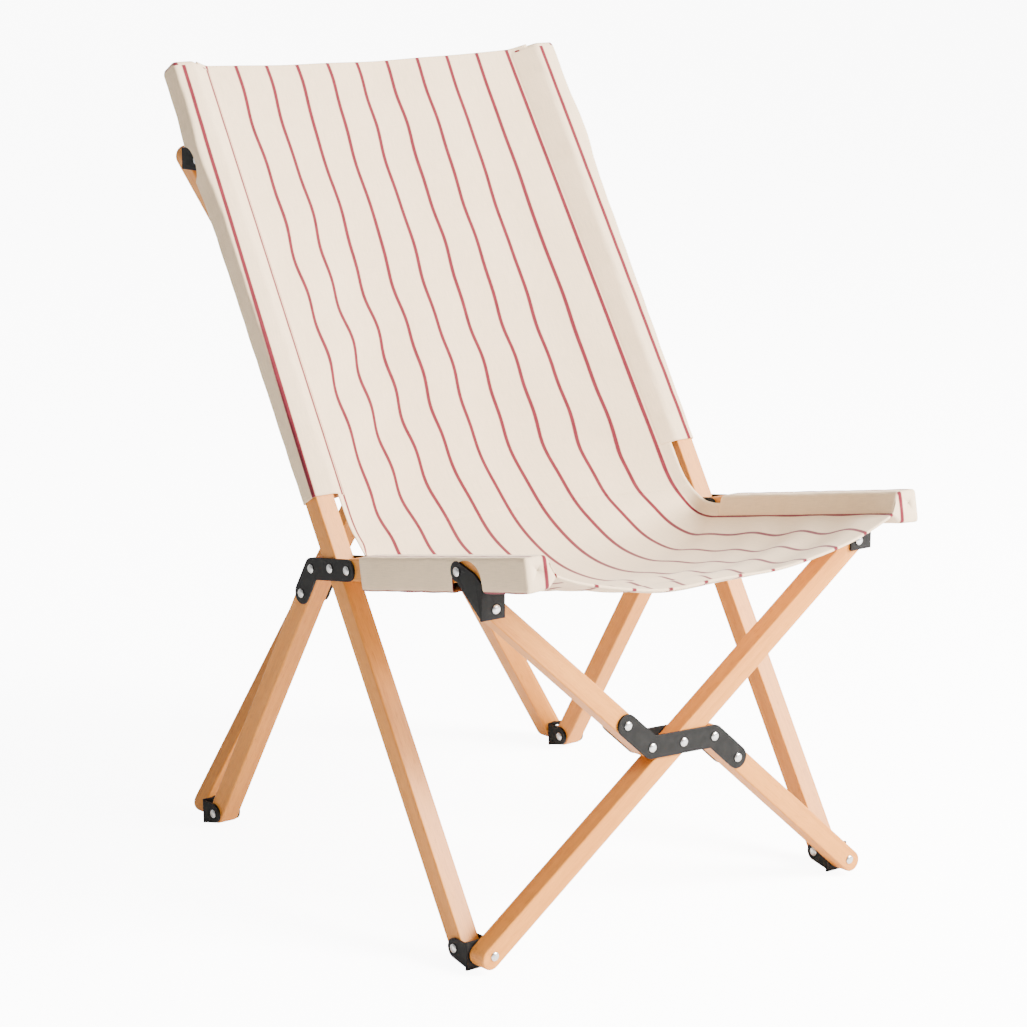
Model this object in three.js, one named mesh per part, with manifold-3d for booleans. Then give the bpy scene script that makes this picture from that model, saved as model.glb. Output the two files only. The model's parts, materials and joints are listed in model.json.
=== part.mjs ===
// Folding camp chair: two wooden side scissors, a crossed pair of bars in front and behind,
// steel hinge plates and brackets, riveted pivots and a striped canvas sling.
// Millimetres, +Z up, +X to the right of somebody facing the chair, -Y to the front.
// The origin is on the floor under the middle of the chair.
import * as THREE from 'three';
import { mergeVertices } from 'three/addons/utils/BufferGeometryUtils.js';
import Module from 'manifold-3d';

const wasm = await Module();
wasm.setup();

// ---------------------------------------------------------------- driving dimensions
const DEG = Math.PI / 180;
const GAP = 0.3;                 // clearance between touching pieces
const BAR = 25;                  // square section of every wooden bar
const HALF = BAR / 2;
const PLATE = 2.8;               // steel thickness
const SIDE_X = 267.5;            // centre plane of each side scissor
const CROSS_X = 264;             // the crossed bars' end pins, left and right
const FOOT_Z = 18;               // height of the foot pins
const FOOT_Y = -247.85;          // front foot pins
const REAR_FOOT_Y = FOOT_Y + 488;
const POST_LEAN = 34.4 * DEG;    // from the vertical
const POST_LENGTH = 1048;        // from the foot pin to the centre of the round top end
const POST_PIVOT = 446;          // from the foot pin to the rear leg's pivot
const TOP_BRACKET = 955;         // from the foot pin to the top bracket's pin
const RAIL_PIN_REACH = 33;       // from the post pivot to the seat rail's pin
const RAIL_PIN_ANGLE = 170.1 * DEG; // of that reach, in (y, z)
const LEG_OFFSET = 28.3;         // the rear leg's centre line behind the post pivot
const LEG_RIVETS = [0, 38.5];    // along the leg, below its top end's centre
const LEG_TOP = 26.5;            // the leg's top end centre, below the post pivot
const RAIL_RISE = 13.8 * DEG;    // the seat rail rises towards the front
const RAIL_BRACKET = 209;        // from the rail's rear pin to the seat bracket's pin
const RAIL_FRONT = 104;          // the rail goes on past that pin
const PIN_RADIUS = 2.7;
const HOLE_RADIUS = 3.2;
const HEAD_RADIUS = 5;
const HEAD_HEIGHT = 2.2;
const FRONT_SET = 36.3;          // front crossed bars' centre plane, in front of the foot pins
const SEAT_SET = 28;             // the same plane, in front of the seat bracket's pins
const SEAT_DROP = 35;            // crossed bars' top pins, below the seat bracket's pins
const FRONT_RISE = 0.7;          // crossed bars' foot pins, above the front foot pins
const REAR_RISE = 5;             // the same, above the rear foot pins
const REAR_SET = 39.5;           // rear crossed bars' centre plane, behind the rear foot pins
const FOOT_WASHER = 3;           // room for a washer between a rear foot bracket and its crossed bar
const TOP_SET = 45;              // the same plane, behind the top bracket's pins
const END_RUN = 4.5;             // a crossed bar's round end is centred this far past its pin
const SPLIT_OFFSET = 29;         // split bar's halves, beside the centre pivot
const SPLIT_RIVETS = [35.5, 83]; // along the halves, from the centre pivot
const CHEEK_RADIUS = 11.5;       // foot and seat brackets' round ends
const TOP_CHEEK_RADIUS = 12.5;
const INNER_CHEEK_RADIUS = 9.5;  // seat brackets, on the sitter's side
const FOOT_WEB = [-24, 13];      // foot brackets' webs, below and above the foot pins
const FOOT_CHEEK_LOW = -16.5;    // the cheek's lower corner at the web
const SEAT_WEB = [-46, -6];      // the seat brackets' webs hang below their pins
const SEAT_INNER_LOW = -13;      // the inner cheek's lower corner at the web
const SEAT_SHOULDER = [30, 3];   // the cheeks' corner between the web and the round end
const ZIGZAG_RADIUS = [12.8, 14]; // half width of the zigzag plates' end arms and middle arm
const CLOTH = 1.4;
const BACK_SLEEVE = [532, 1066]; // along the post
const SEAT_SLEEVE = [26, 328];   // along the rail, from its rear pin
const SLEEVE_SLACK = 9;          // the seat sleeve hangs this far below its rail
const TOP_NOTCH = 23;            // the back sleeve is open this far either side of the top pin
const SEAT_MOUTH = [16, 50];     // the seat sleeve is open this far behind and in front of its pin
const CUT_REACH = 8;             // a cut runs this far past the sleeve's skin
const SHEET_FACE = HALF + 1.6;   // the sheet's edge line, from a bar's centre line
const SHEET_X = SIDE_X - HALF - 3.2; // half width of the sheet
const SHEET_COLUMNS = 16;
const BEND_TOP = 600;            // where the edge line leaves the post, along the post
const BEND_CORNER = 478;         // the point it is drawn towards
const BEND_FOOT = 95;            // where it meets the rail, along the rail
const BEND_SHARE = 0.42;         // the bend's share of the seat panel's length
const PINCH = 30;                // the sheet is this much narrower each side in the bend
const TOP_SAG = 19;              // behind the edge line, in the middle of the sheet
const BEND_SAG = 48;
const LUMBAR_SAG = 30;           // added low on the back, fading out at both ends
const FRONT_SAG = 17;            // added towards the seat's front edge

// ---------------------------------------------------------------- colours
const wood = { color: 0xe3b184, roughness: 0.55, metalness: 0 };
const steel = { color: 0x2a2826, roughness: 0.45, metalness: 0.6 };
const bright = { color: 0xc9c9c7, roughness: 0.25, metalness: 1 };
const canvas = { color: 0xe9dfcf, roughness: 0.95, metalness: 0 };

// ---------------------------------------------------------------- points of the side scissor, (y, z)
const vec = (x, y) => new THREE.Vector2(x, y);
const at = (from, direction, distance) => from.clone().addScaledVector(direction, distance);
const polar = (angle) => vec(Math.cos(angle), Math.sin(angle));
const postFoot = vec(FOOT_Y, FOOT_Z);
const postUp = vec(Math.sin(POST_LEAN), Math.cos(POST_LEAN));
const postBack = vec(postUp.y, -postUp.x);
const postPivot = at(postFoot, postUp, POST_PIVOT);
const postTop = at(postFoot, postUp, POST_LENGTH);
const topPin = at(postFoot, postUp, TOP_BRACKET);
const railPin = at(postPivot, polar(RAIL_PIN_ANGLE), RAIL_PIN_REACH);
const rearFoot = vec(REAR_FOOT_Y, FOOT_Z);
const toPivot = postPivot.clone().sub(rearFoot);
const legUp = polar(toPivot.angle() - Math.asin(LEG_OFFSET / toPivot.length()));
const legReach = Math.sqrt(toPivot.lengthSq() - LEG_OFFSET ** 2);
const legTop = at(rearFoot, legUp, legReach - LEG_TOP);
const railFront = polar(Math.PI - RAIL_RISE);
const railUp = vec(railFront.y, -railFront.x);
const seatPin = at(railPin, railFront, RAIL_BRACKET);
const railEnd = at(seatPin, railFront, RAIL_FRONT);

// A crossed pair's plane: up is its direction in (y, z), front its normal, base its foot point.
function crossPlane(low, lowSet, rise, high, highSet, drop) {
  const line = high.clone().sub(low);
  const tilt = line.angle() + Math.asin((highSet - lowSet) / line.length());
  const up = polar(tilt);
  const front = vec(-up.y, up.x);
  const height = line.dot(up) - rise - drop;
  return { up, front, base: at(at(low, front, lowSet), up, rise), height };
}
const frontCross = crossPlane(postFoot, FRONT_SET, FRONT_RISE, seatPin, SEAT_SET, SEAT_DROP);
const rearCross = crossPlane(rearFoot, -REAR_SET, REAR_RISE, topPin, -TOP_SET, 0);

// ---------------------------------------------------------------- helpers
const X = new THREE.Vector3(1, 0, 0);
const Y = new THREE.Vector3(0, 1, 0);
const Z = new THREE.Vector3(0, 0, 1);
const lift = (p, x = 0) => new THREE.Vector3(x, p.x, p.y);
const group = new THREE.Group();

// The closed body of a geometry, its shared corners joined.
function solid(geometry) {
  const plain = geometry.clone();
  plain.deleteAttribute('normal');
  plain.deleteAttribute('uv');
  const merged = mergeVertices(plain, 1e-4);
  return new wasm.Manifold(new wasm.Mesh({
    numProp: 3,
    vertProperties: new Float32Array(merged.attributes.position.array),
    triVerts: new Uint32Array(merged.index.array),
  }));
}

function geometryOf(body) {
  const mesh = body.getMesh();
  const corners = new THREE.BufferAttribute(new Float32Array(mesh.vertProperties), 3);
  const geometry = new THREE.BufferGeometry();
  geometry.setAttribute('position', corners);
  geometry.setIndex(new THREE.BufferAttribute(new Uint32Array(mesh.triVerts), 1));
  return geometry;
}

// Adds a named mesh whose own x, y and z axes lie along the given directions.
function add(name, geometry, finish, origin = new THREE.Vector3(), ex = X, ey = Y) {
  const mesh = new THREE.Mesh(geometry, new THREE.MeshStandardMaterial(finish));
  const turn = new THREE.Matrix4().makeBasis(ex, ey, ex.clone().cross(ey));
  mesh.name = name;
  mesh.quaternion.setFromRotationMatrix(turn);
  mesh.position.copy(origin);
  group.add(mesh);
}

// Outline of a strip with two round ends, from point a to point b.
function strip(a, b, radius, segments = 6) {
  const angle = b.clone().sub(a).angle();
  const points = [];
  for (let i = 0; i <= segments; i += 1) {
    points.push(at(b, polar(angle - Math.PI / 2 + Math.PI * i / segments), radius));
  }
  for (let i = 0; i <= segments; i += 1) {
    points.push(at(a, polar(angle + Math.PI / 2 + Math.PI * i / segments), radius));
  }
  return new THREE.Shape().setFromPoints(points);
}

// The points in counter-clockwise order.
function ordered(points) {
  const twiceArea = points.reduce((sum, p, i) => sum + p.cross(points[(i + 1) % points.length]), 0);
  return twiceArea < 0 ? [...points].reverse() : points;
}

function outline(points) {
  return new THREE.Shape().setFromPoints(ordered(points));
}

function extrude(shape, low, high) {
  const options = { depth: high - low, bevelEnabled: false, curveSegments: 6 };
  return new THREE.ExtrudeGeometry(shape, options).translate(0, 0, low);
}

function drill(body, centres, radius, low, high) {
  let result = body;
  for (const centre of centres) {
    const hole = new THREE.Shape().absarc(centre.x, centre.y, radius, 0, 2 * Math.PI);
    result = result.subtract(solid(extrude(hole, low, high)));
  }
  return result;
}

// A flat body from one or more strips joined together, drilled at the given centres.
function flat(strips, holes, low, high) {
  let body = solid(extrude(strips[0], low, high));
  for (const shape of strips.slice(1)) {
    body = body.add(solid(extrude(shape, low, high)));
  }
  return geometryOf(drill(body, holes, HOLE_RADIUS, low - 1, high + 1));
}

// A rivet along +Z from z = low to z = high, a domed head outside each end that has one.
function rivet(low, high, lowHead = true, highHead = true) {
  const dome = (z, way) => [[HEAD_RADIUS, 0], [HEAD_RADIUS * 0.8, 0.6], [0, 1]]
    .map(([r, t]) => vec(r, z + way * HEAD_HEIGHT * t));
  const start = lowHead ? dome(low, -1).reverse() : [vec(0, low)];
  const end = highHead ? dome(high, 1) : [vec(0, high)];
  const profile = [...start, vec(PIN_RADIUS, low), vec(PIN_RADIUS, high), ...end];
  return new THREE.LatheGeometry(profile, 10).rotateX(Math.PI / 2);
}

// ---------------------------------------------------------------- side scissors
const sideAxes = [Y, Z];
const sides = [['left', -1], ['right', 1]];
const OUTER_FACE = HALF + GAP;           // from a bar's centre plane to the plate beside it
const OUTER_SKIN = OUTER_FACE + PLATE;

function sidePiece(name, geometry, finish, side) {
  add(name, geometry, finish, new THREE.Vector3(side * SIDE_X, 0, 0), ...sideAxes);
}

function sidePin(name, point, side, reach = OUTER_SKIN + GAP) {
  add(name, rivet(-reach, reach), bright, lift(point, side * SIDE_X), ...sideAxes);
}

const legRivets = LEG_RIVETS.map((down) => at(legTop, legUp, -down));
for (const [word, side] of sides) {
  const post = flat([strip(postFoot, postTop, HALF)], [postFoot, postPivot, topPin], -HALF, HALF);
  const leg = flat([strip(rearFoot, legTop, HALF)], [rearFoot, ...legRivets], -HALF, HALF);
  const rail = flat([strip(railPin, railEnd, HALF)], [railPin, seatPin], -HALF, HALF);
  sidePiece(`${word}_post`, post, wood, side);
  sidePiece(`${word}_rear_leg`, leg, wood, side);
  sidePiece(`${word}_seat_rail`, rail, wood, side);
  const arms = [strip(railPin, legTop, HALF), strip(legTop, legRivets[1], HALF)];
  const holes = [railPin, postPivot, ...legRivets];
  for (const [place, way] of [['outer', side], ['inner', -side]]) {
    const faces = [way * OUTER_FACE, way * OUTER_SKIN].sort((a, b) => a - b);
    sidePiece(`${word}_${place}_hinge_plate`, flat(arms, holes, ...faces), steel, side);
  }
  sidePin(`${word}_post_pivot_pin`, postPivot, side);
  sidePin(`${word}_rail_pivot_pin`, railPin, side);
  sidePin(`${word}_leg_rivet_upper`, legRivets[0], side);
  sidePin(`${word}_leg_rivet_lower`, legRivets[1], side);
  sidePin(`${word}_seat_bracket_pin`, seatPin, side);
  sidePin(`${word}_front_foot_pin`, postFoot, side);
  sidePin(`${word}_rear_foot_pin`, rearFoot, side);
  sidePin(`${word}_top_bracket_pin`, topPin, side);
}

// ---------------------------------------------------------------- hinge brackets
// A bracket is a web between two cheeks, worked out in (out, up) about its side pin: out is the
// crossed plane's normal away from the bar, up its direction. The cheeks lie beside the bar.
function bracket(name, side, pin, plane, out, web, outerCheek, innerCheek, crossPin) {
  const place = (o, u) => at(at(pin, out, o), plane.up, u);
  const cheek = (points, way) => {
    const faces = [way * OUTER_FACE, way * OUTER_SKIN].sort((a, b) => a - b);
    return solid(extrude(outline(points.map(([o, u]) => place(o, u))), ...faces));
  };
  const [inside, outside, low, high] = web;
  const corners = [place(inside, low), place(outside, low), place(outside, high), place(inside, high)];
  let body = solid(extrude(outline(corners), -OUTER_SKIN, OUTER_SKIN));
  body = body.add(cheek(outerCheek, side)).add(cheek(innerCheek, -side));
  body = drill(body, [pin], HOLE_RADIUS, -OUTER_SKIN - 1, OUTER_SKIN + 1);
  const centre = place((inside + outside) / 2, crossPin);
  const bore = new THREE.CylinderGeometry(HOLE_RADIUS, HOLE_RADIUS, 4 * PLATE, 12);
  bore.rotateZ(out.angle() - Math.PI / 2);
  bore.translate(centre.x, centre.y, side * (CROSS_X - SIDE_X));
  body = body.subtract(solid(bore));
  const underFloor = new THREE.BoxGeometry(4 * BAR, 2 * BAR, 4 * BAR).translate(pin.x, -BAR, 0);
  body = body.subtract(solid(underFloor));
  sidePiece(name, geometryOf(body), steel, side);
}

// Round end about the pin, then the listed corners towards the web.
function cheekOutline(radius, corners) {
  const points = [];
  for (let i = 0; i <= 8; i += 1) {
    const angle = Math.PI / 2 + Math.PI * i / 8;
    points.push([radius * Math.cos(angle), radius * Math.sin(angle)]);
  }
  return [...points, ...corners];
}

const webFaces = (set) => [set - HALF - GAP - PLATE, set - HALF - GAP];
const footCheek = (set) => cheekOutline(CHEEK_RADIUS,
  [[webFaces(set)[1], FOOT_CHEEK_LOW], [webFaces(set)[1], CHEEK_RADIUS]]);
const topWeb = [...webFaces(TOP_SET), -TOP_CHEEK_RADIUS, TOP_CHEEK_RADIUS];
const topCheek = cheekOutline(TOP_CHEEK_RADIUS,
  [[topWeb[1], -TOP_CHEEK_RADIUS], [topWeb[1], TOP_CHEEK_RADIUS]]);
const seatFace = SEAT_SET + HALF + GAP;
const seatSkin = seatFace + PLATE;
const seatOuterCheek = cheekOutline(CHEEK_RADIUS,
  [[seatSkin, SEAT_WEB[0]], [seatSkin, SEAT_WEB[1]], SEAT_SHOULDER]);
const seatInnerCheek = cheekOutline(INNER_CHEEK_RADIUS,
  [[seatSkin, SEAT_INNER_LOW], [seatSkin, SEAT_WEB[1]], SEAT_SHOULDER]);
const rearOut = rearCross.front.clone().negate();

const rearSet = REAR_SET - FOOT_WASHER;
for (const [word, side] of sides) {
  const front = footCheek(FRONT_SET);
  const rear = footCheek(rearSet);
  bracket(`${word}_front_foot_bracket`, side, postFoot, frontCross, frontCross.front,
    [...webFaces(FRONT_SET), ...FOOT_WEB], front, front, FRONT_RISE);
  bracket(`${word}_rear_foot_bracket`, side, rearFoot, rearCross, rearOut,
    [...webFaces(rearSet), ...FOOT_WEB], rear, rear, REAR_RISE);
  bracket(`${word}_top_bracket`, side, topPin, rearCross, rearOut, topWeb, topCheek, topCheek, 0);
  bracket(`${word}_seat_bracket`, side, seatPin, frontCross, frontCross.front,
    [seatFace, seatSkin, ...SEAT_WEB], seatOuterCheek, seatInnerCheek, -SEAT_DROP);
}

// ---------------------------------------------------------------- crossed bars
// Each pair is worked out in (x, up) on its plane. The whole bar runs from the left foot to the
// right top. The split bar runs from the left top to the right foot, and its halves pass beside
// the centre pivot, below it on the left and above it on the right.
// A whole bar is drilled at its top only in the pair whose top pins pass through it. Returns the
// end points and a function that adds a pin to the pair.
function crossedPair(word, plane, wholeBarEnds) {
  const axes = [X, lift(plane.up)];
  const origin = lift(plane.base);
  const put = (name, geometry, finish) => {
    add(`${word}_${name}`, geometry, finish, origin, ...axes);
  };
  const pin = (name, point, low, high, lowHead = true, highHead = true) => {
    const place = origin.clone().addScaledVector(X, point.x).addScaledVector(axes[1], point.y);
    add(name, rivet(low, high, lowHead, highHead), bright, place, ...axes);
  };
  const foot = { left: vec(-CROSS_X, 0), right: vec(CROSS_X, 0) };
  const top = { left: vec(-CROSS_X, plane.height), right: vec(CROSS_X, plane.height) };
  const centre = vec(0, plane.height / 2);
  const along = top.right.clone().sub(foot.left).normalize();
  const whole = strip(at(foot.left, along, -END_RUN), top.right, HALF);
  const wholeHoles = wholeBarEnds ? [top.right, centre] : [centre];
  put('cross_bar', flat([whole], wholeHoles, -HALF, HALF), wood);

  const half = centre.distanceTo(top.left);
  const down = polar(centre.clone().sub(top.left).angle() - Math.asin(SPLIT_OFFSET / half));
  const reach = Math.sqrt(half ** 2 - SPLIT_OFFSET ** 2);
  const upper = SPLIT_RIVETS.map((s) => at(top.left, down, reach - s));
  const lower = upper.map((p) => vec(-p.x, plane.height - p.y));
  const lowerHalf = strip(lower[0], at(foot.right, down, END_RUN), HALF);
  put('split_bar_upper', flat([strip(top.left, upper[0], HALF)], [top.left], -HALF, HALF), wood);
  put('split_bar_lower', flat([lowerHalf], [], -HALF, HALF), wood);
  const arms = [
    strip(upper[1], upper[0], ZIGZAG_RADIUS[0]),
    strip(upper[0], lower[0], ZIGZAG_RADIUS[1]),
    strip(lower[0], lower[1], ZIGZAG_RADIUS[0]),
  ];
  put('zigzag_plate_near', flat(arms, [centre], OUTER_FACE, OUTER_SKIN), steel);
  put('zigzag_plate_far', flat(arms, [centre], -OUTER_SKIN, -OUTER_FACE), steel);
  pin(`${word}_centre_pin`, centre, -OUTER_SKIN - GAP, OUTER_SKIN + GAP);
  return { foot, top, pin };
}

// The pins at the open pivots stop in their bracket's web, with a head on its far side only.
const frontPair = crossedPair('front', frontCross, true);
const rearPair = crossedPair('rear', rearCross, false);
const webSkin = OUTER_SKIN + GAP;
const rearLow = OUTER_FACE + FOOT_WASHER;
for (const [word] of sides) {
  frontPair.pin(`${word}_front_foot_cross_pin`, frontPair.foot[word], -webSkin, -OUTER_FACE, true, false);
  frontPair.pin(`${word}_seat_cross_pin`, frontPair.top[word], -OUTER_FACE, webSkin);
  rearPair.pin(`${word}_rear_foot_cross_pin`, rearPair.foot[word], rearLow, rearLow + PLATE + GAP, false);
}
rearPair.pin('left_top_cross_pin', rearPair.top.left, -OUTER_FACE, webSkin);
rearPair.pin('right_top_cross_pin', rearPair.top.right, OUTER_FACE, webSkin, false);

// ---------------------------------------------------------------- sling
// A sleeve is a rectangular tube about a bar, worked out along it from its start point. Across
// points to the front of a post and below a rail; the sleeve is loose by slack on that side.
function sleeve(name, side, start, along, range, slack, cut) {
  const across = vec(-along.y, along.x);
  const inner = HALF + GAP;
  const box = (from, to, low, high, halfWidth) => {
    const corners = [[from, low], [to, low], [to, high], [from, high]];
    const points = corners.map(([a, b]) => at(at(start, along, a), across, b));
    return solid(extrude(outline(points), -halfWidth, halfWidth));
  };
  const skin = box(range[0], range[1], -inner - CLOTH, inner + slack + CLOTH, inner + CLOTH);
  const hollow = box(range[0] - 1, range[1] - CLOTH, -inner, inner + slack, inner);
  sidePiece(name, geometryOf(skin.subtract(hollow).subtract(box(...cut))), canvas, side);
}

const past = HALF + SLEEVE_SLACK + CUT_REACH;
const notch = [TOP_BRACKET - TOP_NOTCH, TOP_BRACKET + TOP_NOTCH, -past, HALF + 0.1, BAR];
const mouth = [RAIL_BRACKET - SEAT_MOUTH[0], RAIL_BRACKET + SEAT_MOUTH[1], -HALF - 0.1, past, BAR];
for (const [word, side] of sides) {
  sleeve(`${word}_back_sleeve`, side, postFoot, postUp, BACK_SLEEVE, 0, notch);
  sleeve(`${word}_seat_sleeve`, side, railPin, railFront, SEAT_SLEEVE, SLEEVE_SLACK, mouth);
}

// The sheet between the sleeves. Its edge line runs down the post's front face, round the corner
// over the rail's rear end and along the top of the rail; the sheet sags away from the sitter.
const frontOf = (t) => at(at(postFoot, postUp, t), postBack, -SHEET_FACE);
const topOf = (t) => at(at(railPin, railFront, t), railUp, -SHEET_FACE);

// edge, sag and inset are functions of the share along the sheet, from its upper end.
function sheet(name, edge, sag, inset, rows) {
  const positions = [];
  const index = [];
  for (const level of [0, 1]) {
    for (let i = 0; i <= rows; i += 1) {
      const v = i / rows;
      const ahead = edge(Math.min(v + 0.01, 1)).sub(edge(Math.max(v - 0.01, 0))).normalize();
      const away = vec(ahead.y, -ahead.x);
      for (let j = 0; j <= SHEET_COLUMNS; j += 1) {
        const u = 2 * j / SHEET_COLUMNS - 1;
        const depth = sag(v) * (1 - u * u) + level * CLOTH;
        const point = at(edge(v), away, -depth);
        positions.push(u * (SHEET_X - inset(v)), point.x, point.y);
      }
    }
  }
  const width = SHEET_COLUMNS + 1;
  const layer = (rows + 1) * width;
  const quad = (a, b, c, d) => index.push(a, b, c, a, c, d);
  for (let i = 0; i < rows; i += 1) {
    for (let j = 0; j < SHEET_COLUMNS; j += 1) {
      const a = i * width + j;
      quad(a, a + width, a + width + 1, a + 1);
      quad(layer + a, layer + a + 1, layer + a + width + 1, layer + a + width);
    }
    const left = i * width;
    const right = left + SHEET_COLUMNS;
    quad(left + width, left, layer + left, layer + left + width);
    quad(right, right + width, layer + right + width, layer + right);
  }
  for (let j = 0; j < SHEET_COLUMNS; j += 1) {
    const end = rows * width + j;
    quad(j, j + 1, layer + j + 1, layer + j);
    quad(end + 1, end, layer + end, layer + end + 1);
  }
  const geometry = new THREE.BufferGeometry();
  geometry.setAttribute('position', new THREE.BufferAttribute(new Float32Array(positions), 3));
  geometry.setIndex(index);
  add(name, geometry, canvas);
}

const backTop = BACK_SLEEVE[1];
const seatFront = SEAT_SLEEVE[1];
const bend = new THREE.QuadraticBezierCurve(frontOf(BEND_TOP), frontOf(BEND_CORNER), topOf(BEND_FOOT));
const backEdge = (v) => frontOf(backTop - v * (backTop - BEND_TOP));
const seatEdge = (v) => {
  if (v < BEND_SHARE) return bend.getPoint(v / BEND_SHARE);
  return topOf(BEND_FOOT + (v - BEND_SHARE) / (1 - BEND_SHARE) * (seatFront - BEND_FOOT));
};
const seatSag = (v) => BEND_SAG + LUMBAR_SAG * Math.sin(Math.PI * Math.min(1, v * 1.2)) + FRONT_SAG * v;
const seatInset = (v) => (v < BEND_SHARE ? PINCH * Math.sin(Math.PI * v / BEND_SHARE) : 0);
const START = 0.004;             // the seat panel starts this share past the back panel's end
sheet('back_panel', backEdge, (v) => TOP_SAG + (BEND_SAG - TOP_SAG) * v, () => 0, 8);
sheet('seat_panel', (v) => seatEdge(START + (1 - START) * v), seatSag, seatInset, 16);

export default group;
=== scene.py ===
"""Folding camp chair: beech bars on riveted black hinges, and a striped canvas sling.

Run as a script. Metres, +Z up, -Y to the front of the chair.
"""
import json
import math

import bmesh
import bpy
import numpy as np
from mathutils import Matrix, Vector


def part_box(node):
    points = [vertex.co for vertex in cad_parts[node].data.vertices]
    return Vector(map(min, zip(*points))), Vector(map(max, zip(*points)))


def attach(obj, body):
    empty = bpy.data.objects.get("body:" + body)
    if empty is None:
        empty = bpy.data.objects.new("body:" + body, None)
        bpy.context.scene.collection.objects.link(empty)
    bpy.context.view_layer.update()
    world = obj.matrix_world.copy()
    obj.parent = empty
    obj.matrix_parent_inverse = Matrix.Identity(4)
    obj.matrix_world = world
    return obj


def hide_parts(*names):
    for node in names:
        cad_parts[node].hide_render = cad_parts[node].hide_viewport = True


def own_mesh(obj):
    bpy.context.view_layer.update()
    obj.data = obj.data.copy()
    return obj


bl_info = {
    "name": "Folding Camp Chair",
    "version": (1, 0, 0),
    "blender": (4, 5, 0),
    "location": "3D View > Sidebar > Chair",
    "description": "Builds the looks of a folding camp chair around its mechanical frame",
    "category": "Object",
}

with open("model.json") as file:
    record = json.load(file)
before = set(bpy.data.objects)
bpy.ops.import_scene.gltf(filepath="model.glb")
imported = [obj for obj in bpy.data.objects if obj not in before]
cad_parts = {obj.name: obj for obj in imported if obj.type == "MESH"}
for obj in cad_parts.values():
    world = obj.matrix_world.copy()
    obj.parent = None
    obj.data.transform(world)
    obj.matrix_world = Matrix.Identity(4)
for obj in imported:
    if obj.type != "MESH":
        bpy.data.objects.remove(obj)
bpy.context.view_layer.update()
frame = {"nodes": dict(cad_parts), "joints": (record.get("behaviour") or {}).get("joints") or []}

# ------------------------------------------------------------------ places, from the frame
PIVOT = {j["name"]: np.array(j["pos_m"]) for j in frame["joints"]}
NORMAL = {j["name"]: np.array(j["axis"]) for j in frame["joints"]}
X_AXIS = np.array([1.0, 0.0, 0.0])
BAR = float(np.subtract(*reversed(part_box("left_post")))[0])   # the bars' square side
HALF = BAR / 2


def unit(v):
    """v at length 1."""
    return v / np.linalg.norm(v)


def middle(node):
    """Centre of a CAD node's box."""
    return np.mean(np.array(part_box(node)), axis=0)


FOOT = PIVOT["left_front_foot_hinge"]
POST_PIVOT = PIVOT["left_fold"]
RAIL_PIN = PIVOT["left_rail_hinge"]
SEAT_PIN = PIVOT["left_seat_bracket_hinge"]
REAR_FOOT = PIVOT["left_rear_foot_hinge"]
TOP_PIN = PIVOT["left_top_bracket_hinge"]
POST_UP = unit(POST_PIVOT - FOOT)
POST_FRONT = np.cross(X_AXIS, POST_UP)
RAIL_OUT = unit(SEAT_PIN - RAIL_PIN)
RAIL_UP = np.cross(RAIL_OUT, X_AXIS)
LEG_TOP = middle("left_leg_rivet_upper")
LEG_LOW_RIVET = middle("left_leg_rivet_lower")
SIDE_X = abs(FOOT[0])
FRONT_NORMAL = unit(NORMAL["front_centre_pivot"])
REAR_NORMAL = unit(NORMAL["rear_centre_pivot"])
POST_TOP_AT = float((np.array(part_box("left_back_sleeve")[1]) - FOOT)[2] / POST_UP[2])
SIDES = (("left", -1), ("right", 1))


def mirrored(point, side):
    """A left-hand point, or the same point on the right."""
    return point * np.array([-side, 1.0, 1.0])


# ------------------------------------------------------------------ settings a user would change
class ChairWood(bpy.types.PropertyGroup):
    """Beech bars."""
    tone: bpy.props.FloatVectorProperty(
        name="Wood tone", description="Base colour of the beech", subtype="COLOR",
        default=(0.69, 0.262, 0.042), min=0, max=1)
    edge: bpy.props.FloatProperty(
        name="Edge radius", description="Rounding along the bars' edges", default=0.0018,
        unit="LENGTH", min=0.0005, max=0.006)


class ChairSteel(bpy.types.PropertyGroup):
    """Plates, brackets and rivets."""
    coat: bpy.props.FloatVectorProperty(
        name="Coat colour", description="Powder coat on plates and brackets", subtype="COLOR",
        default=(0.006, 0.0058, 0.0055), min=0, max=1)
    rivet: bpy.props.FloatVectorProperty(
        name="Rivet colour", description="Bright rivet heads", subtype="COLOR",
        default=(0.72, 0.72, 0.71), min=0, max=1)
    head_radius: bpy.props.FloatProperty(
        name="Head radius", description="Radius of a rivet's head", default=0.0053,
        unit="LENGTH", min=0.003, max=0.008)
    head_height: bpy.props.FloatProperty(
        name="Head height", description="How far a rivet's head stands up", default=0.0022,
        unit="LENGTH", min=0.001, max=0.004)


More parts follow.
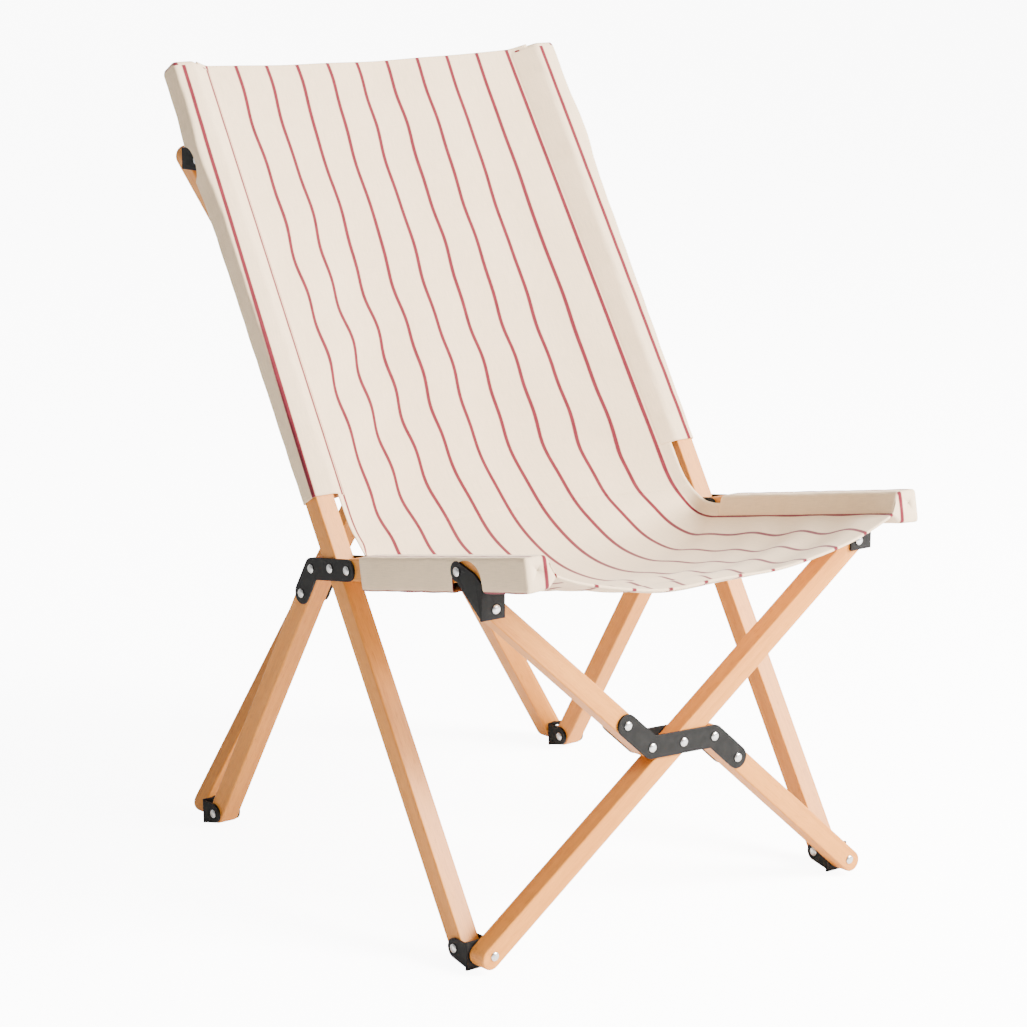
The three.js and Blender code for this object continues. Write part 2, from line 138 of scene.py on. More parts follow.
class ChairCanvas(bpy.types.PropertyGroup):
    """The sling."""
    cream: bpy.props.FloatVectorProperty(
        name="Cloth colour", description="Undyed cotton canvas", subtype="COLOR",
        default=(0.83, 0.635, 0.42), min=0, max=1)
    red: bpy.props.FloatVectorProperty(
        name="Stripe colour", description="Woven stripes", subtype="COLOR",
        default=(0.145, 0.010, 0.020), min=0, max=1)
    stripe_step: bpy.props.FloatProperty(
        name="Stripe step", description="From one stripe to the next", default=0.0456,
        unit="LENGTH", min=0.01, max=0.1)
    stripe_width: bpy.props.FloatProperty(
        name="Stripe width", description="Width of one stripe", default=0.0053,
        unit="LENGTH", min=0.001, max=0.02)
    thickness: bpy.props.FloatProperty(
        name="Thickness", description="Thickness of the canvas", default=0.0011,
        unit="LENGTH", min=0.0005, max=0.003)
    top_sag: bpy.props.FloatProperty(
        name="Top sag", description="Sag at the middle of the top edge", default=0.031,
        unit="LENGTH", min=0, max=0.1)
    front_sag: bpy.props.FloatProperty(
        name="Front sag", description="Sag at the middle of the seat's front edge", default=0.062,
        unit="LENGTH", min=0, max=0.15)


class ChairStage(bpy.types.PropertyGroup):
    """Floor, light and camera."""
    azimuth: bpy.props.FloatProperty(
        name="Azimuth", description="Camera's turn round the chair", default=math.radians(-38.2),
        subtype="ANGLE")
    elevation: bpy.props.FloatProperty(
        name="Elevation", description="Camera's height angle", default=math.radians(15.1),
        subtype="ANGLE")
    roll: bpy.props.FloatProperty(
        name="Roll", description="Camera's roll", default=math.radians(2.1), subtype="ANGLE")
    place: bpy.props.FloatVectorProperty(
        name="Camera place", description="Where the camera stands", subtype="TRANSLATION",
        default=(-2.1858, -2.7429, 1.3578))
    lens: bpy.props.FloatProperty(
        name="Lens", description="Focal length on a 36 mm sensor", default=108.6, min=20, max=300)


GROUPS = {"chair_wood": ChairWood, "chair_steel": ChairSteel,
          "chair_canvas": ChairCanvas, "chair_stage": ChairStage}


# ------------------------------------------------------------------ materials
def new_material(name):
    """An empty node material and a function that adds nodes to it."""
    material = bpy.data.materials.new(name)
    material.use_nodes = True
    tree = material.node_tree
    tree.nodes.clear()

    def add(kind, inputs=None, **settings):
        node = tree.nodes.new(kind)
        for key, value in settings.items():
            setattr(node, key, value)
        for key, value in (inputs or {}).items():
            if isinstance(value, bpy.types.NodeSocket):
                tree.links.new(value, node.inputs[key])
            else:
                node.inputs[key].default_value = value
        return node

    shader = add("ShaderNodeBsdfPrincipled")
    output = add("ShaderNodeOutputMaterial", {"Surface": shader.outputs["BSDF"]})
    output.location = (400, 0)
    return material, add, shader, tree


def ramp(add, value, *stops):
    """A colour ramp over value, from (position, colour) stops."""
    node = add("ShaderNodeValToRGB", {"Fac": value})
    while len(node.color_ramp.elements) < len(stops):
        node.color_ramp.elements.new(0.5)
    for element, (position, colour) in zip(node.color_ramp.elements, stops):
        element.position = position
        element.color = (*colour, 1) if len(colour) == 3 else colour
    return node.outputs["Color"]


def maths(add, operation, a, b=0.0, c=0.0):
    """One arithmetic step; a and b are sockets or numbers."""
    return add("ShaderNodeMath", {0: a, 1: b, 2: c}, operation=operation).outputs[0]


def mixed(add, factor, a, b, blend="MIX"):
    """Colour a turned into colour b by factor."""
    node = add("ShaderNodeMix", data_type="RGBA", blend_type=blend)
    tree = node.id_data
    for index, value in ((0, factor), (6, a), (7, b)):
        if isinstance(value, bpy.types.NodeSocket):
            tree.links.new(value, node.inputs[index])
        else:
            node.inputs[index].default_value = value if index == 0 else (*value[:3], 1)
    return node.outputs[2]


def beech(tone):
    """Pale beech: long soft streaks, fine pores and short darker flecks along the grain."""
    material, add, shader, tree = new_material("beech")
    grain = add("ShaderNodeAttribute", attribute_name="grain").outputs["Vector"]

    def stretched(scale):
        return add("ShaderNodeMapping", {"Vector": grain, "Scale": scale}).outputs["Vector"]

    streak = add("ShaderNodeTexNoise", {"Vector": stretched((2.2, 95, 95)), "Scale": 1.0,
                                        "Detail": 5.0, "Roughness": 0.6, "Distortion": 0.3})
    pores = add("ShaderNodeTexNoise", {"Vector": stretched((60, 1500, 1500)), "Scale": 1.0,
                                       "Detail": 3.0, "Roughness": 0.65})
    fleck = add("ShaderNodeTexNoise", {"Vector": stretched((95, 900, 620)), "Scale": 1.0,
                                       "Detail": 1.0, "Roughness": 0.4})
    broad = add("ShaderNodeTexNoise", {"Vector": stretched((0.9, 12, 12)), "Scale": 1.0,
                                       "Detail": 2.0})
    tone = np.array(tone)
    pale = tuple(np.clip(tone * (1.06, 1.08, 1.12), 0, 1))
    deep = tuple(tone * (0.86, 0.80, 0.72))
    base = ramp(add, streak.outputs["Fac"], (0.30, deep), (0.50, tuple(tone)), (0.72, pale))
    flecks = ramp(add, fleck.outputs["Fac"], (0.60, (0, 0, 0)), (0.72, (1, 1, 1)))
    dark = tuple(tone * (0.70, 0.58, 0.47))
    colour = mixed(add, maths(add, "MULTIPLY", flecks, 0.42), base, dark)
    fine = ramp(add, pores.outputs["Fac"], (0.35, (0.86, 0.84, 0.82)), (0.62, (1, 1, 1)))
    colour = mixed(add, 1.0, colour, fine, "MULTIPLY")
    patch = ramp(add, broad.outputs["Fac"], (0.3, (0.93, 0.91, 0.89)), (0.7, (1.0, 1.0, 1.0)))
    colour = mixed(add, 1.0, colour, patch, "MULTIPLY")
    tree.links.new(colour, shader.inputs["Base Color"])
    rough = maths(add, "MULTIPLY_ADD", streak.outputs["Fac"], 0.16, 0.36)
    tree.links.new(rough, shader.inputs["Roughness"])
    height = maths(add, "ADD", pores.outputs["Fac"], maths(add, "MULTIPLY", flecks, -0.4))
    bump = add("ShaderNodeBump", {"Height": height, "Strength": 0.16, "Distance": 0.0004})
    tree.links.new(bump.outputs["Normal"], shader.inputs["Normal"])
    shader.inputs["Specular IOR Level"].default_value = 0.28
    return material


def powder_coat(colour):
    """Satin black powder coat: fine orange-peel grain and slightly uneven gloss."""
    material, add, shader, tree = new_material("black_steel")
    place = add("ShaderNodeTexCoord").outputs["Object"]
    peel = add("ShaderNodeTexNoise", {"Vector": place, "Scale": 1400.0, "Detail": 2.0})
    dust = add("ShaderNodeTexNoise", {"Vector": place, "Scale": 90.0, "Detail": 4.0})
    light = tuple(c * 1.9 + 0.002 for c in colour)
    base = ramp(add, dust.outputs["Fac"], (0.35, tuple(colour)), (0.75, light))
    tree.links.new(base, shader.inputs["Base Color"])
    rough = maths(add, "MULTIPLY_ADD", dust.outputs["Fac"], 0.22, 0.42)
    tree.links.new(rough, shader.inputs["Roughness"])
    bump = add("ShaderNodeBump", {"Height": peel.outputs["Fac"], "Strength": 0.22, "Distance": 0.0002})
    tree.links.new(bump.outputs["Normal"], shader.inputs["Normal"])
    shader.inputs["Specular IOR Level"].default_value = 0.16
    return material


def rivet_metal(colour):
    """Bright plated steel with faint turning marks."""
    material, add, shader, tree = new_material("bright_steel")
    place = add("ShaderNodeTexCoord").outputs["Object"]
    scratch = add("ShaderNodeTexNoise", {"Vector": place, "Scale": 700.0, "Detail": 4.0})
    base = ramp(add, scratch.outputs["Fac"], (0.3, tuple(c * 0.82 for c in colour)), (0.7, tuple(colour)))
    tree.links.new(base, shader.inputs["Base Color"])
    rough = maths(add, "MULTIPLY_ADD", scratch.outputs["Fac"], 0.18, 0.20)
    tree.links.new(rough, shader.inputs["Roughness"])
    shader.inputs["Metallic"].default_value = 1.0
    return material


def canvas(settings):
    """Heavy plain-woven cotton with narrow woven stripes.

    The cloth map's first coordinate runs across the cloth and its second along it, in metres.
    A stripe stands on the middle line, and others every step from it.
    """
    material, add, shader, tree = new_material("striped_canvas")
    place = add("ShaderNodeUVMap", uv_map="cloth").outputs["UV"]
    across = add("ShaderNodeSeparateXYZ", {"Vector": place})
    u = across.outputs["X"]
    v = across.outputs["Y"]
    thread = 2 * math.pi / 0.0011
    warp = maths(add, "SINE", maths(add, "MULTIPLY", u, thread))
    weft = maths(add, "SINE", maths(add, "MULTIPLY", v, thread))
    weave = maths(add, "MULTIPLY", warp, weft)
    slub = add("ShaderNodeTexNoise", {"Vector": add("ShaderNodeMapping", {
        "Vector": place, "Scale": (900, 60, 1)}).outputs["Vector"], "Scale": 1.0, "Detail": 3.0})
    slub_cross = add("ShaderNodeTexNoise", {"Vector": add("ShaderNodeMapping", {
        "Vector": place, "Scale": (60, 900, 1)}).outputs["Vector"], "Scale": 1.0, "Detail": 3.0})
    broad = add("ShaderNodeTexNoise", {"Vector": place, "Scale": 9.0, "Detail": 3.0})
    cream = np.array(settings.cream)
    pale = tuple(np.clip(cream * 1.05, 0, 1))
    base = ramp(add, slub.outputs["Fac"], (0.25, tuple(cream * 0.90)), (0.75, pale))
    cross = ramp(add, slub_cross.outputs["Fac"], (0.25, (0.93, 0.925, 0.915)), (0.75, (1, 1, 1)))
    base = mixed(add, 1.0, base, cross, "MULTIPLY")
    tint = ramp(add, broad.outputs["Fac"], (0.3, (0.975, 0.965, 0.95)), (0.7, (1, 1, 1)))
    base = mixed(add, 1.0, base, tint, "MULTIPLY")
    step = settings.stripe_step
    wobble = maths(add, "MULTIPLY_ADD", slub_cross.outputs["Fac"], 0.0007, -0.00035)
    phase = maths(add, "DIVIDE", maths(add, "ADD", u, wobble), step)
    away = maths(add, "ABSOLUTE", maths(add, "SUBTRACT", phase, maths(add, "ROUND", phase)))
    edge = settings.stripe_width / step / 2
    line = add("ShaderNodeMapRange", {"Value": away, "From Min": edge * 1.25, "From Max": edge * 0.75})
    red = np.array(settings.red)
    thread_red = ramp(add, slub.outputs["Fac"], (0.3, tuple(red * 0.75)), (0.7, tuple(red * 1.25)))
    halo = add("ShaderNodeMapRange", {"Value": away, "From Min": edge * 2.6, "From Max": edge * 1.0})
    pink = tuple(cream * (0.97, 0.86, 0.86))
    base = mixed(add, maths(add, "MULTIPLY", halo.outputs["Result"], 0.5), base, pink)
    colour = mixed(add, line.outputs["Result"], base, thread_red)
    tree.links.new(colour, shader.inputs["Base Color"])
    shader.inputs["Roughness"].default_value = 0.93
    shader.inputs["Specular IOR Level"].default_value = 0.18
    shader.inputs["Sheen Weight"].default_value = 0.18
    shader.inputs["Sheen Roughness"].default_value = 0.5
    height = maths(add, "MULTIPLY_ADD", weave, 0.25, slub.outputs["Fac"])
    bump = add("ShaderNodeBump", {"Height": height, "Strength": 0.22, "Distance": 0.0004})
    tree.links.new(bump.outputs["Normal"], shader.inputs["Normal"])
    return material


MATERIALS = {}


def finish_of(name):
    """The named material, made the first time it is asked for."""
    scene = bpy.context.scene
    makers = {
        "beech": lambda: beech(scene.chair_wood.tone),
        "black_steel": lambda: powder_coat(scene.chair_steel.coat),
        "bright_steel": lambda: rivet_metal(scene.chair_steel.rivet),
        "canvas": lambda: canvas(scene.chair_canvas),
    }
    if name not in MATERIALS:
        MATERIALS[name] = makers[name]()
    return MATERIALS[name]


# ------------------------------------------------------------------ surfaces to meshes
def piece(name, points, faces, material, slot, body, replaced=(), sharp=40):
    """A mesh object at the origin, riding on a body, for the given points and faces."""
    mesh = bpy.data.meshes.new(name)
    mesh.from_pydata(np.asarray(points, dtype=float).tolist(), [], faces)
    mesh.validate()
    mesh.polygons.foreach_set("use_smooth", [True] * len(mesh.polygons))
    mesh.set_sharp_from_angle(angle=math.radians(sharp))
    mesh.materials.append(finish_of(material))
    thing = bpy.data.objects.new(name, mesh)
    bpy.context.scene.collection.objects.link(thing)
    if replaced:
        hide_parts(*replaced)
    if body:
        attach(thing, body)
    return thing


def ring_faces(rings, count):
    """Quads between closed rings of count points each, and one face over each end."""
    i = np.arange(rings - 1)[:, None] * count
    j = np.arange(count)[None, :]
    k = (j + 1) % count
    quads = np.stack([i + j, i + k, i + count + k, i + count + j], axis=-1).reshape(-1, 4)
    faces = quads.tolist()
    faces.append(list(range(count))[::-1])
    faces.append(list(range((rings - 1) * count, rings * count)))
    return faces


FLAT_LINE = 1.2                  # support lines beside a rounded edge, in radii from the face's border


def edge_profile(half, radius, steps=4):
    """(inset, height) pairs over a slab's edge: a quarter round below, then one above.

    A line beside each round keeps the faces flat.
    """
    q = np.linspace(0, math.pi / 2, steps + 1)
    inset = radius * (1 - np.cos(q))
    height = half - radius * (1 - np.sin(q))
    inset = np.concatenate([[0.0], inset, [radius * FLAT_LINE]])
    height = np.concatenate([[half - radius * FLAT_LINE], height, [half]])
    return np.concatenate([inset[::-1], inset]), np.concatenate([-height[::-1], height])


def path_outline(path, radius, arc=12, corner=6):
    """Outline of a band of half-width radius along a path of (a, b) points.

    The ends are half circles; the outside of each corner is an arc and its inside one point,
    where the two offset lines meet. The outline runs counter-clockwise.
    """
    path = np.asarray(path, dtype=float)
    heads = [unit(b - a) for a, b in zip(path[:-1], path[1:])]
    turn_left = np.array([[0.0, -1.0], [1.0, 0.0]])

    def side(points, directions):
        out = []
        for i in range(1, len(points) - 1):
            before = -(turn_left @ directions[i - 1])
            after = -(turn_left @ directions[i])
            bend = np.cross(directions[i - 1], directions[i])
            if bend > 0:
                t = np.linspace(0, 1, corner)[:, None]
                fan = before * (1 - t) + after * t
                out.append(points[i] + radius * fan / np.linalg.norm(fan, axis=1)[:, None])
            else:
                out.append((points[i] + radius * (before + after) / (1 + before @ after))[None])
        return out

    def cap(centre, heading):
        t = np.linspace(-math.pi / 2, math.pi / 2, arc + 1)[:, None]
        return centre + radius * (np.cos(t) * heading + np.sin(t) * (turn_left @ heading))

    forward = side(path, heads)
    back = side(path[::-1], [-h for h in heads[::-1]])
    return np.concatenate([*forward, cap(path[-1], heads[-1]), *back, cap(path[0], -heads[0])])


def band_slab(origin, e1, e2, path, radius, low, high, edge, steps=3):
    """A slab along a path: rings of its outline, drawn in by the edge's round, stacked along the normal.

    origin, e1 and e2 place the path's plane; low and high are heights along e1 x e2.
    """
    inset, height = edge_profile((high - low) / 2, edge, steps)
    normal = np.cross(e1, e2)
    rings = [path_outline(path, radius - i) for i in inset]
    points = [origin + r[:, :1] * e1 + r[:, 1:] * e2 + (h + (low + high) / 2) * normal
              for r, h in zip(rings, height)]
    return np.concatenate(points), ring_faces(len(rings), len(rings[0]))


def lathe(profile, centre, axis, count=28):
    """A profile of (radius, height) pairs turned about an axis through centre.

    The profile starts and ends on the axis.
    """
    profile = np.asarray(profile, dtype=float)
    side = unit(np.cross(axis, X_AXIS if abs(axis[0]) < 0.9 else np.array([0.0, 1.0, 0.0])))
    other = np.cross(axis, side)
    t = np.arange(count) * 2 * math.pi / count
    circle = np.cos(t)[:, None] * side + np.sin(t)[:, None] * other
    heights = profile[:, 1:] * axis
    rings = centre + profile[1:-1, 0][:, None, None] * circle + heights[1:-1, None]
    points = np.concatenate([rings.reshape(-1, 3), centre + heights[:1], centre + heights[-1:]])
    faces = ring_faces(len(profile) - 2, count)[:-2]
    last = (len(profile) - 3) * count
    j = np.arange(count)
    k = (j + 1) % count
    faces += np.stack([np.full(count, len(points) - 2), k, j], axis=1).tolist()
    faces += np.stack([np.full(count, len(points) - 1), last + j, last + k], axis=1).tolist()
    return points, faces


def set_vectors(thing, name, vectors):
    """Stores one vector for each point of a piece."""
    layer = thing.data.attributes.new(name, "FLOAT_VECTOR", "POINT")
    layer.data.foreach_set("vector", np.asarray(vectors, dtype=np.float32).ravel())


def plane_axes(normal):
    """A crossed pair's plane: across to the right, up along the plane."""
    return X_AXIS, np.cross(normal, X_AXIS)


# ------------------------------------------------------------------ wood
def make_bar(name, body, start, end, normal, seed):
    """A square bar with half-round ends, its own grain running from start to end."""
    wood = bpy.context.scene.chair_wood
    along = unit(end - start)
    side = np.cross(normal, along)
    length = float(np.linalg.norm(end - start))
    points, faces = band_slab(start, along, side, [(0, 0), (length, 0)], HALF, -HALF, HALF, wood.edge, 4)
    bar = piece(name + "_wood", points, faces, "beech", "beech", body, [name])
    local = (points - start) @ np.stack([along, side, normal], axis=1)
    set_vectors(bar, "grain", local + np.array([1.7, 0.9, 0.4]) * seed)
    return bar


def crossed_points(word):
    """A crossed pair's normal, plane axes and centre, and how far its ends are across and up from there."""
    normal = FRONT_NORMAL if word == "front" else REAR_NORMAL
    across, up = plane_axes(normal)
    centre = PIVOT[f"{word}_centre_pivot"]
    top_left = PIVOT[f"{word}_left_top_pivot"]
    half = top_left - centre
    reach = abs(float(half @ across))
    rise = float(half @ up)
    return normal, across, up, centre, reach, rise


SPLIT_OFFSET = 0.029             # the split bar's halves, beside the centre pivot
SPLIT_RIVETS = (0.0355, 0.083)   # along the halves, from the centre pivot
END_RUN = 0.0045                 # a bar's round end is centred this far past its foot pin


def split_line(reach, rise):
    """Direction of the split bar, from the left top down, and its two rivet points, in (across, up)."""
    top = np.array([-reach, rise])
    span = np.linalg.norm(top)
    angle = math.atan2(-top[1], -top[0]) - math.asin(SPLIT_OFFSET / span)
    down = np.array([math.cos(angle), math.sin(angle)])
    foot = top + down * math.sqrt(span ** 2 - SPLIT_OFFSET ** 2)
    return down, [foot - down * s for s in SPLIT_RIVETS]


POST_HEAD = 0.018                # a post's round end is centred this far below its sleeve's top


class CHAIR_OT_bars(bpy.types.Operator):
    """Makes the twelve wooden bars, with rounded edges and ends"""
    bl_idname = "chair.make_bars"
    bl_label = "Wooden bars"

    def execute(self, context):
        post_end = FOOT + POST_UP * (POST_TOP_AT - POST_HEAD)
        for word, side in SIDES:
            rail_end = np.array(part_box("left_seat_rail")[0])
            rail_run = (RAIL_PIN[1] - rail_end[1] - HALF) / -RAIL_OUT[1]
            bars = (("post", FOOT, post_end, f"{word}_post"),
                    ("rear_leg", REAR_FOOT, LEG_TOP, f"{word}_rear_leg"),
                    ("seat_rail", RAIL_PIN, RAIL_PIN + RAIL_OUT * rail_run, f"{word}_seat_rail"))
            for index, (kind, start, end, body) in enumerate(bars):
                make_bar(f"{word}_{kind}", body, mirrored(start, side), mirrored(end, side),
                         X_AXIS, 3 * index + side)
        for index, word in enumerate(("front", "rear")):
            normal, across, up, centre, reach, rise = crossed_points(word)
            place = lambda p: centre + p[0] * across + p[1] * up
            slope = unit(np.array([reach, rise]))
            make_bar(f"{word}_cross_bar", f"{word}_cross_bar",
                     place(np.array([-reach, -rise]) - END_RUN * slope), place((reach, rise)),
                     normal, 11 + index)
            down, rivets = split_line(reach, rise)
            make_bar(f"{word}_split_bar_upper", f"{word}_split_bar", place((-reach, rise)),
                     place(rivets[0]), normal, 14 + index)
            make_bar(f"{word}_split_bar_lower", f"{word}_split_bar", place(-rivets[0]),
                     place(np.array([reach, -rise]) + END_RUN * down), normal, 17 + index)
        return {"FINISHED"}


# ------------------------------------------------------------------ steel
PLATE_FACE = 0.0003              # gap between a bar and the plate beside it
PLATE_EDGE = 0.0005              # the round along a plate's edges
PLATE_SHEET = 0.0028             # steel sheet of the plates and webs
PLATE_RIM = 0.0002               # a hinge plate is this much wider than a bar, each side
ZIGZAG_RIM = 0.0006              # the same for a zigzag plate
BRACKET_EDGE = 0.0005            # the round along a bracket's edges


class CHAIR_OT_plates(bpy.types.Operator):
    """Makes the L-shaped hinge plates and the zigzag plates"""
    bl_idname = "chair.make_plates"
    bl_label = "Hinge plates"

    def execute(self, context):
        e1, e2 = np.array([0.0, 1.0, 0.0]), np.array([0.0, 0.0, 1.0])
        flat = lambda p: (p[1], p[2])
        for word, side in SIDES:
            for place in ("outer", "inner"):
                node = f"{word}_{place}_hinge_plate"
                low, high = (float(p[0]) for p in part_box(node))
                path = [flat(RAIL_PIN), flat(LEG_TOP), flat(LEG_LOW_RIVET)]
                points, faces = band_slab(np.zeros(3), e1, e2, path, HALF + PLATE_RIM, low, high,
                                          PLATE_EDGE)
                piece(f"{node}_steel", points, faces, "black_steel", "black_steel",
                      f"{word}_rear_leg", [node], 35)
        for word in ("front", "rear"):
            normal, across, up, centre, reach, rise = crossed_points(word)
            down, rivets = split_line(reach, rise)
            path = [rivets[1], rivets[0], -rivets[0], -rivets[1]]
            for place, way in (("near", 1), ("far", -1)):
                start = HALF + PLATE_FACE
                faces_at = sorted((way * start, way * (start + PLATE_SHEET)))
                node = f"{word}_zigzag_plate_{place}"
                points, faces = band_slab(centre, across, up, path, HALF + ZIGZAG_RIM, *faces_at,
                                          PLATE_EDGE)
                piece(f"{node}_steel", points, faces, "black_steel", "black_steel",
                      f"{word}_split_bar", [node], 35)
        return {"FINISHED"}


class CHAIR_OT_brackets(bpy.types.Operator):
    """Makes the bent brackets, as their sheet shapes with softened edges"""
    bl_idname = "chair.make_brackets"
    bl_label = "Hinge brackets"

    def execute(self, context):
        for word, side in SIDES:
            for kind in ("front_foot", "rear_foot", "top", "seat"):
                node = f"{word}_{kind}_bracket"
                mesh = frame["nodes"][node].data.copy()
                form = bmesh.new()
                form.from_mesh(mesh)
                bmesh.ops.remove_doubles(form, verts=form.verts, dist=1e-5)
                bmesh.ops.dissolve_limit(form, angle_limit=math.radians(2), verts=form.verts,
                                         edges=form.edges)
                hard = [e for e in form.edges
                        if e.is_manifold and e.calc_face_angle(0) > math.radians(35)]
                bmesh.ops.bevel(form, geom=hard, offset=BRACKET_EDGE, segments=2, profile=0.5,
                                affect="EDGES", clamp_overlap=True)
                form.to_mesh(mesh)
                form.free()
                mesh.name = node + "_steel"
                mesh.materials.clear()
                mesh.materials.append(finish_of("black_steel"))
                mesh.polygons.foreach_set("use_smooth", [True] * len(mesh.polygons))
                mesh.set_sharp_from_angle(angle=math.radians(28))
                thing = bpy.data.objects.new(node + "_steel", mesh)
                context.scene.collection.objects.link(thing)
                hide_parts(node)
                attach(thing, node)
        return {"FINISHED"}


SHANK = 0.0026                   # a rivet's shank, as a radius
SHANK_PAST = 0.0034              # from a bar's face to the underside of a rivet's head
HEAD_RIM = 0.14                  # the upright part of a head, as a share of its height
HEAD_SINK = 0.0015               # how far an open pivot's head is set into its bar
WEB_GAP = 0.0006                 # gap between a crossed bar and its bracket's web
REAR_GAP = 0.003                 # more gap at the rear feet, filled by a washer
WASHER = 0.008                   # a washer's radius
WASHER_PLAY = 0.0002


def head_profile(radius, height):
    """(radius, height) pairs of a domed head above height 0: a short upright rim, then an arc to the top."""
    t = np.linspace(0.12, 1.0, 7) * math.pi / 2
    rim = [(radius * 0.97, 0.0), (radius, height * HEAD_RIM)]
    dome = [(radius * math.cos(a), height * (HEAD_RIM + (1 - HEAD_RIM) * math.sin(a))) for a in t[:-1]]
    return rim + dome + [(0.0, height)]


def rivet_shape(centre, axis, low, high, low_head=True, high_head=True):
    """A rivet from height low to high along its axis, with a domed head at each end that has one."""
    steel = bpy.context.scene.chair_steel
    head = head_profile(steel.head_radius, steel.head_height)
    start = [(r, low - h) for r, h in head[::-1]] if low_head else [(0.0, low)]
    end = [(r, high + h) for r, h in head] if high_head else [(0.0, high)]
    return lathe([*start, (SHANK, low), (SHANK, high), *end], centre, axis)


def bright_piece(name, shape, body, replaced=()):
    """A piece of bright steel, from its points and faces."""
    return piece(name, *shape, "bright_steel", "bright_steel", body, replaced, 50)


class CHAIR_OT_rivets(bpy.types.Operator):
    """Makes every rivet, and the heads of those whose joint is open in the frame"""
    bl_idname = "chair.make_rivets"
    bl_label = "Rivets"

    def execute(self, context):
        reach = HALF + SHANK_PAST
        behind = {"post_pivot_pin": "post", "rail_pivot_pin": "rear_leg", "leg_rivet_upper": "rear_leg",
                  "leg_rivet_lower": "rear_leg", "seat_bracket_pin": "seat_rail", "front_foot_pin": "post",
                  "rear_foot_pin": "rear_leg", "top_bracket_pin": "post"}
        for word, side in SIDES:
            for kind, part in behind.items():
                node = f"{word}_{kind}"
                shape = rivet_shape(middle(node), X_AXIS, -reach, reach)
                bright_piece(node + "_steel", shape, f"{word}_{part}", [node])
        for word in ("front", "rear"):
            normal, across, up, centre, half_reach, rise = crossed_points(word)
            shape = rivet_shape(centre, normal, -reach, reach)
            bright_piece(f"{word}_centre_pin_steel", shape, f"{word}_split_bar", [f"{word}_centre_pin"])
            down, rivets = split_line(half_reach, rise)
            for index, spot in enumerate([*rivets, *[-r for r in rivets]]):
                place = centre + spot[0] * across + spot[1] * up
                shape = rivet_shape(place, normal, -reach, reach)
                bright_piece(f"{word}_zigzag_rivet_{index + 1}", shape, f"{word}_split_bar")
            for end, way in (("foot", -1), ("top", 1)):
                for side_word, side in SIDES:
                    place = centre + side * half_reach * across + way * rise * up
                    self.end_rivet(word, end, side_word, side, place, normal)
        return {"FINISHED"}

    def end_rivet(self, word, end, side_word, side, place, normal):
        """The rivet at one end of a crossed bar.

        It goes through the bar and the web where the frame joins them; at an open pivot it is a
        short rivet in the web and a head on the bar, so each part moves with its own body.
        """
        whole = (side > 0) == (end == "top")
        bar = f"{word}_cross_bar" if whole else f"{word}_split_bar"
        kind = {("front", "foot"): "front_foot", ("front", "top"): "seat",
                ("rear", "foot"): "rear_foot", ("rear", "top"): "top"}[word, end]
        node = f"{side_word}_{kind}_cross_pin"
        bracket = f"{side_word}_{kind}_bracket"
        web_side = -1 if (word, end) == ("front", "foot") else 1
        joined = (word == "front" and end == "top") or (word == "rear" and end == "top" and side < 0)
        gap = REAR_GAP if kind == "rear_foot" else 0.0
        web_out = HALF + WEB_GAP + PLATE_SHEET + gap
        if joined:
            shape = rivet_shape(place, normal, -HALF - PLATE_FACE, web_out)
            bright_piece(node + "_steel", shape, bracket, [node])
            return
        inner, outer = sorted((web_side * (HALF + PLATE_FACE + gap), web_side * web_out))
        shape = rivet_shape(place, normal, inner, outer, web_side < 0, web_side > 0)
        bright_piece(node + "_steel", shape, bracket, [node])
        steel = bpy.context.scene.chair_steel
        profile = [(0.0, -HEAD_SINK), (SHANK, -HEAD_SINK),
                   *head_profile(steel.head_radius, steel.head_height)]
        face = place - normal * web_side * (HALF + 0.0001)
        bright_piece(node + "_head", lathe(profile, face, -web_side * normal), bar)
        if gap:
            low, high = WASHER_PLAY, gap - WASHER_PLAY
            ring = [(0.0, low), (WASHER, low), (WASHER, high), (0.0, high)]
            points, faces = lathe(ring, place + normal * web_side * HALF, web_side * normal)
            piece(node + "_washer", points, faces, "black_steel", "black_steel", bracket, (), 30)


# ------------------------------------------------------------------ canvas
BACK_LOW = 0.528                 # the back sleeve's lower end, along the post
SEAT_LOW = 0.026                 # the seat sleeve's rear end, from the rail's rear pin
SEAT_END = 0.3275                # the front hem, from the rail's rear pin
FACE = HALF + 0.0016             # canvas, from a bar's centre line
BULGE = 0.0046                   # how far a back sleeve swells over its top bracket
BULGE_SPREAD = 0.042             # the swelling's spread along the post
FIRST_STRIPE = {"left": 0.0520, "right": 0.0430, "seat": 0.0441}   # round a sleeve, from its seam
POST_CAP = 0.0063                # depth of the rounded cap on a back sleeve
RAIL_CAP = 0.0024                # depth of the flat cap on a seat sleeve
SLEEVE_SHORT = 0.0015            # a seat sleeve's cap starts this far behind the front hem
TOP_SEAM = (0.0440, 0.0200)      # a back seam's top: inboard of the post's centre, behind its front face
BACK_SEAM = (0.0330, 0.0120)     # the same at its lower end
SEAT_SEAM = (0.0250, 0.0230)     # a seat seam: inboard of the rail's centre, below its top face
SEAT_DROP = 0.009                # how far the seat's sleeves hang below the rails
WALL_SHARE = 0.70                # the panel's free edge, from its seam towards the bar's corner
HEM_RADIUS = 0.0012              # how tightly a hem turns
HEM_DEPTH = 0.013                # how far a hem runs back
STRIPES_TO_SEAM = 5              # stripe steps from the middle to a seam
BACK_BEND = (0.050, 0.045)       # the seams' bend starts and ends this far from the crotch
MIDDLE_BEND = (0.135, 0.110)     # the same for the middle's line
BACK_SAG = (0.044, 0.050, 0.051, 0.067)   # sag between the top and front edges
MOUTH_OVER = 0.0013              # the free edge's offset where it lies on a sleeve
TOP_ARCH = (0.024, 0.0175, 0.006)        # arch at the top bracket: half width, depth outside and inside
